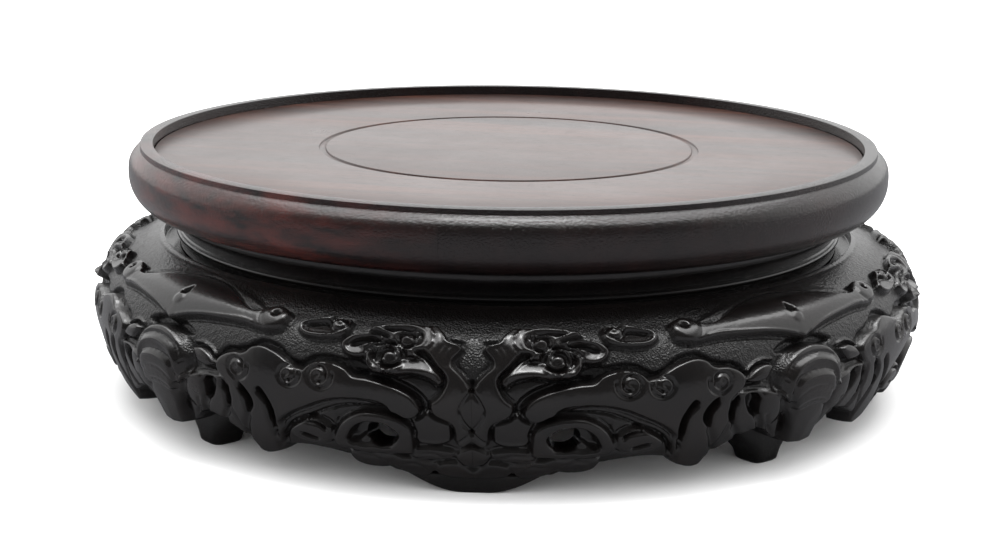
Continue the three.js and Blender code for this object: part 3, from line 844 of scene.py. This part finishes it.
def skirt_maker():
    """One carved arc, from one joint to the next, as a closed solid."""
    inner_rows = 8
    hem_rows = 3
    rows = FACE_ROWS + hem_rows + inner_rows + 5
    maker = bmesh.new()
    bmesh.ops.create_grid(maker, x_segments=ARC_COLUMNS, y_segments=rows, size=0.5)
    worked_layer = maker.verts.layers.float.new("worked")
    shade_depth_layer = maker.verts.layers.float.new("deep")
    spots = np.array([v.co[:2] for v in maker.verts])
    column = np.rint((spots[:, 0] + 0.5) * ARC_COLUMNS).astype(int)
    row = np.rint((spots[:, 1] + 0.5) * rows).astype(int)
    folded = np.minimum(column, ARC_COLUMNS - column)
    trim = math.degrees(JOINT_HALF / RIM_R)
    turn = trim + column * (90 - 2 * trim) / ARC_COLUMNS
    near = folded * 90.0 / ARC_COLUMNS
    hem = hem_at(near)

    # the outer face
    on_face = np.clip(row, 0, FACE_ROWS)
    s = on_face / FACE_ROWS * hem
    r, z = face_point(s)
    nr, nz = face_normal(s)
    height = relief[folded, on_face]
    fade = ease(s / 1.5)
    r = r + nr * height * fade
    z = z + nz * height * fade

    # the inner face, from the hem up to the ledge
    inside = spline(SKIRT_INSIDE[::-1], per=12)
    hem_r, hem_z = r.copy(), z.copy()
    inner_r = np.interp(hem_z, inside[:, 1], inside[:, 0])
    inner_r = np.minimum(inner_r, hem_r - LEAST_THICK)
    k = np.clip((row - FACE_ROWS) / hem_rows, 0, 1)
    under = row > FACE_ROWS
    r = np.where(under, hem_r + (inner_r - hem_r) * k, r)
    z = np.where(under, hem_z - HEM_ROUND * np.sin(k * math.pi), z)
    up = row > FACE_ROWS + hem_rows
    k = np.clip((row - FACE_ROWS - hem_rows) / inner_rows, 0, 1)
    climb = hem_z + (SKIRT_INSIDE[0][1] - hem_z) * k
    wall_r = np.interp(climb, inside[:, 1], inside[:, 0])
    wall_r = np.where(k < 0.15, np.minimum(wall_r, hem_r - LEAST_THICK), wall_r)
    r = np.where(up, wall_r, r)
    z = np.where(up, climb, z)
    last = [(LEDGE_R, LEDGE_BOTTOM), (LEDGE_R, LEDGE_TOP), (MOUTH_R - 0.4, LEDGE_TOP),
            (MOUTH_R, LEDGE_TOP + 0.3), (MOUTH_R, SKIRT_FACE[-1][1])]
    for step, (end_r, end_z) in enumerate(last, FACE_ROWS + hem_rows + inner_rows + 1):
        r = np.where(row == step, end_r, r)
        z = np.where(row == step, end_z, z)
    around = np.radians(turn)
    places = np.stack([r * np.sin(around), -r * np.cos(around), z], 1) * MM
    spot_of = {}
    for vert, place, at in zip(maker.verts, places, zip(column, row)):
        vert.co = place
        spot_of[vert] = at

    # pierced eyes: both faces are opened, the edges drawn to an ellipse, and the openings joined
    def eye_offset(co, eye):
        """Across and up from the middle of an eye, in half-widths, and the radius."""
        radius = math.hypot(co.x, co.y) / MM
        turned_by = math.atan2(co.x, -co.y) - math.radians(eye)
        return turned_by * radius / EYE_WIDE, (co.z / MM - EYE_Z) / EYE_HIGH, radius

    for eye in (EYE_TURN, 90 - EYE_TURN):
        loops = []
        for first_row, last_row in ((1, FACE_ROWS - 1), (FACE_ROWS + hem_rows, rows - 6)):
            gone = []
            for face in maker.faces:
                if not all(first_row <= spot_of[v][1] <= last_row for v in face.verts):
                    continue
                across, up_by, _ = eye_offset(face.calc_center_median(), eye)
                if across * across + up_by * up_by < 1:
                    gone.append(face)
            rim_edges = {e for f in gone for e in f.edges if not all(g in gone for g in e.link_faces)}
            bmesh.ops.delete(maker, geom=gone, context="FACES")
            for vert in {v for e in rim_edges for v in e.verts}:
                across, up_by, radius = eye_offset(vert.co, eye)
                grow = 1 / math.hypot(across, up_by)
                at = math.radians(eye) + across * grow * EYE_WIDE / radius
                height = EYE_Z + up_by * grow * EYE_HIGH
                vert.co = Vector((radius * math.sin(at), -radius * math.cos(at), height)) * MM
            loops += list(rim_edges)
        bmesh.ops.bridge_loops(maker, edges=loops)
    # painted shade: each point records how much shade is painted into its colour, more the deeper the
    # carving is sunk, and 0.8 on the hem's underside and the inner faces
    for vert in maker.verts:
        at, down = spot_of[vert]
        at = min(at, ARC_COLUMNS - at)
        vert[shade_depth_layer] = 0.8
        if down <= FACE_ROWS:
            vert[worked_layer] = float(worked[at, down])
            vert[shade_depth_layer] = float(min(max(-relief[at, down] / FULL_SHADE_DEPTH, 0), 1))
    bmesh.ops.remove_doubles(maker, verts=maker.verts, dist=2e-6)
    ends = [e for e in maker.edges if e.is_boundary]
    bmesh.ops.holes_fill(maker, edges=ends, sides=0)
    bmesh.ops.recalc_face_normals(maker, faces=maker.faces)
    return maker


# rosewood carved in the round, stained black and waxed: a soft gloss on the high parts, a
# stippled ground that scatters light, and painted shade that darkens the colour in the hollows and on the
# inner faces
skirt_wood = empty_material("waxed_black_carving")
tree = skirt_wood.node_tree
place = add(tree, "ShaderNodeTexCoord").outputs["Object"]
deep = add(tree, "ShaderNodeAttribute", attribute_name="deep")
stippled = add(tree, "ShaderNodeAttribute", attribute_name="worked")
cloudy = add(tree, "ShaderNodeTexNoise", {"Scale": 60.0, "Detail": 5.0, "Roughness": 0.6},
             {"Vector": place})
tones = add(tree, "ShaderNodeValToRGB", links={0: cloudy})
ramp = tones.color_ramp
ramp.elements[0].position = 0.35
ramp.elements[0].color = linear("#050404")
ramp.elements[1].position = 0.70
ramp.elements[1].color = linear("#0D0908")
# painted shade: the colour is drawn towards near-black with the depth of the carving and on the inner
# faces
painted_hollow_shade = add(tree, "ShaderNodeMix", {7: linear("#060505")}, {0: deep.outputs["Fac"], 6: tones},
           data_type="RGBA")
gloss = add(tree, "ShaderNodeMapRange", {"To Min": 0.22, "To Max": 0.36},
            {"Value": stippled.outputs["Fac"]})
patchy = add(tree, "ShaderNodeMapRange", {"To Min": -0.05, "To Max": 0.10}, {"Value": cloudy})
rough = add(tree, "ShaderNodeMath", links={0: gloss, 1: patchy}, operation="ADD")
PUNCH_MM = 0.5
grit = add(tree, "ShaderNodeTexVoronoi", {"Scale": 1000.0 / PUNCH_MM}, {"Vector": place})
dots = add(tree, "ShaderNodeMath", links={0: grit.outputs["Distance"], 1: stippled.outputs["Fac"]},
           operation="MULTIPLY")
fine = add(tree, "ShaderNodeTexNoise", {"Scale": 900.0, "Detail": 3.0}, {"Vector": place})
slight = add(tree, "ShaderNodeMath", {1: 0.12}, {0: fine}, operation="MULTIPLY")
height = add(tree, "ShaderNodeMath", links={0: dots, 1: slight}, operation="ADD")
bump = add(tree, "ShaderNodeBump", {"Strength": 0.8, "Distance": 0.00025}, {"Height": height})
surface = add(tree, "ShaderNodeBsdfPrincipled",
              {"IOR": 1.5, "Coat Weight": 0.2, "Coat Roughness": 0.12, "Coat IOR": 1.5},
              {"Base Color": painted_hollow_shade.outputs[2], "Roughness": rough, "Normal": bump})
add(tree, "ShaderNodeOutputMaterial", links={"Surface": surface})

first_skirt = put("skirt_1", skirt_maker())
smooth(first_skirt, 60)
first_skirt.data.materials.append(skirt_wood)
for number in range(4):
    if number:
        mesh = first_skirt.data.copy()
        mesh.name = f"skirt_{number + 1}"
        mesh.transform(Matrix.Rotation(math.radians(90 * number), 4, "Z"))
        skirt = bpy.data.objects.new(f"skirt_{number + 1}", mesh)
        bpy.context.scene.collection.objects.link(skirt)
    else:
        skirt = first_skirt
    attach(skirt, "root")
    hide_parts(f"skirt_arc_{number + 1}")

# ---------------------------------------------------------------------------
# Feet: a boat-shaped pad under each joint of the skirt and a hoof under each
# leg, four of each, sawn from rosewood, stained black and glued on.

# rosewood stained black and left unpolished: a dull satin that shows no grain
foot_wood = rosewood("black_satin_feet", "#060505", "#090808", "#0E0B0A", 3.0, 90, 0.36, 0.0)


def wrapped(columns, rows, place):
    """A grid bent into a closed tube by a formula of its two shares, with both ends filled."""
    maker = bmesh.new()
    bmesh.ops.create_grid(maker, x_segments=columns, y_segments=rows, size=0.5)
    for vert in maker.verts:
        vert.co = Vector(place(vert.co.x + 0.5, vert.co.y + 0.5)) * MM
    bmesh.ops.remove_doubles(maker, verts=maker.verts, dist=1e-6)
    bmesh.ops.holes_fill(maker, edges=[e for e in maker.edges if e.is_boundary], sides=0)
    bmesh.ops.recalc_face_normals(maker, faces=maker.faces)
    return maker


def square_round(share, power):
    """A point of a rounded square that reaches from -1 to 1 both ways."""
    turn = share * 2 * math.pi
    x, y = math.cos(turn), math.sin(turn)
    return math.copysign(abs(x) ** power, x), math.copysign(abs(y) ** power, y)


PAD_INNER_R = 105.0
PAD_OUTER_R = 111.3
PAD_HEIGHT = 5.4
PAD_ANGLE = 8.6
PAD_FLAT = 1.6
PAD_TIP = 0.4
PAD_SWEEP = 1.9
PAD_LEAN = 1.8
BLOCK_TOP = 16.0
BLOCK_OUTER_R = 106.9
BLOCK_INNER_R = 97.0
BLOCK_EDGE = 0.5
BLOCK_SHAPE = [(0, 3.9), (0.5, 4.4), (1.4, 4.5), (3, 5.3), (5, 7.2), (7, 9.2), (9, 10.4), (12, 11.1),
               (16, 11.4)]
block_line = spline(BLOCK_SHAPE, per=8)


def pad_place(around, along):
    """The boat-shaped pad: it stands on its middle, and its ends sweep up into the hem."""
    turn = (along * 2 - 1) * PAD_ANGLE
    rise = max(0.0, (abs(turn) - PAD_FLAT) / (PAD_ANGLE - PAD_FLAT))
    low = (PAD_HEIGHT - PAD_TIP) * rise ** PAD_SWEEP
    x, y = square_round(around, 0.35)
    z = (low + PAD_HEIGHT) / 2 + y * (PAD_HEIGHT - low) / 2
    lean = PAD_LEAN * (PAD_HEIGHT - z) / PAD_HEIGHT
    r = (PAD_INNER_R + PAD_OUTER_R) / 2 + x * (PAD_OUTER_R - PAD_INNER_R) / 2 - lean * max(x, 0)
    turn = math.radians(turn)
    return r * math.sin(turn), -r * math.cos(turn), z


def block_place(around, along):
    """The hoof under a leg, narrow at the toe and spreading as it runs up behind the leg."""
    z = along * BLOCK_TOP
    wide = np.interp(z, block_line[:, 0], block_line[:, 1])
    x, y = square_round(around, 0.5)
    eased = math.exp(-z / BLOCK_EDGE)
    outer = BLOCK_OUTER_R + 0.8 * along - 1.0 * eased
    inner = BLOCK_INNER_R - 2.6 * along + 0.6 * eased
    r = (outer + inner) / 2 + y * (outer - inner) / 2
    turn = math.radians(45) + x * wide / r
    return r * math.sin(turn), -r * math.cos(turn), z


for kind, place, columns, rows in (("pad", pad_place, 36, 60), ("block", block_place, 44, 32)):
    first = wrapped(columns, rows, place)
    for number in range(4):
        maker = first.copy()
        bmesh.ops.rotate(maker, cent=(0, 0, 0), matrix=Matrix.Rotation(math.radians(90 * number), 3, "Z"),
                         verts=maker.verts)
        foot = put(f"foot_{kind}_{number + 1}_carved", maker)
        smooth(foot, 40)
        foot.data.materials.append(foot_wood)
        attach(foot, "root")
        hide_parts(f"foot_{kind}_{number + 1}")
    first.free()

# ---------------------------------------------------------------------------
# Inner pieces: battens under the board, loose tongues and pegs, plain wood
# that has never been stained.

# bare rosewood, sawn and scraped: red-brown and quite matt
inner_wood = rosewood("bare_rosewood_inside", "#2A140D", "#48241A", "#6B3B28", 3.0, 0, 0.6, 0.0)
for name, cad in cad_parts.items():
    if name.startswith(("panel_batten", "rim_tongue", "skirt_tongue", "waist_peg")):
        cad.data.materials.clear()
        cad.data.materials.append(inner_wood)
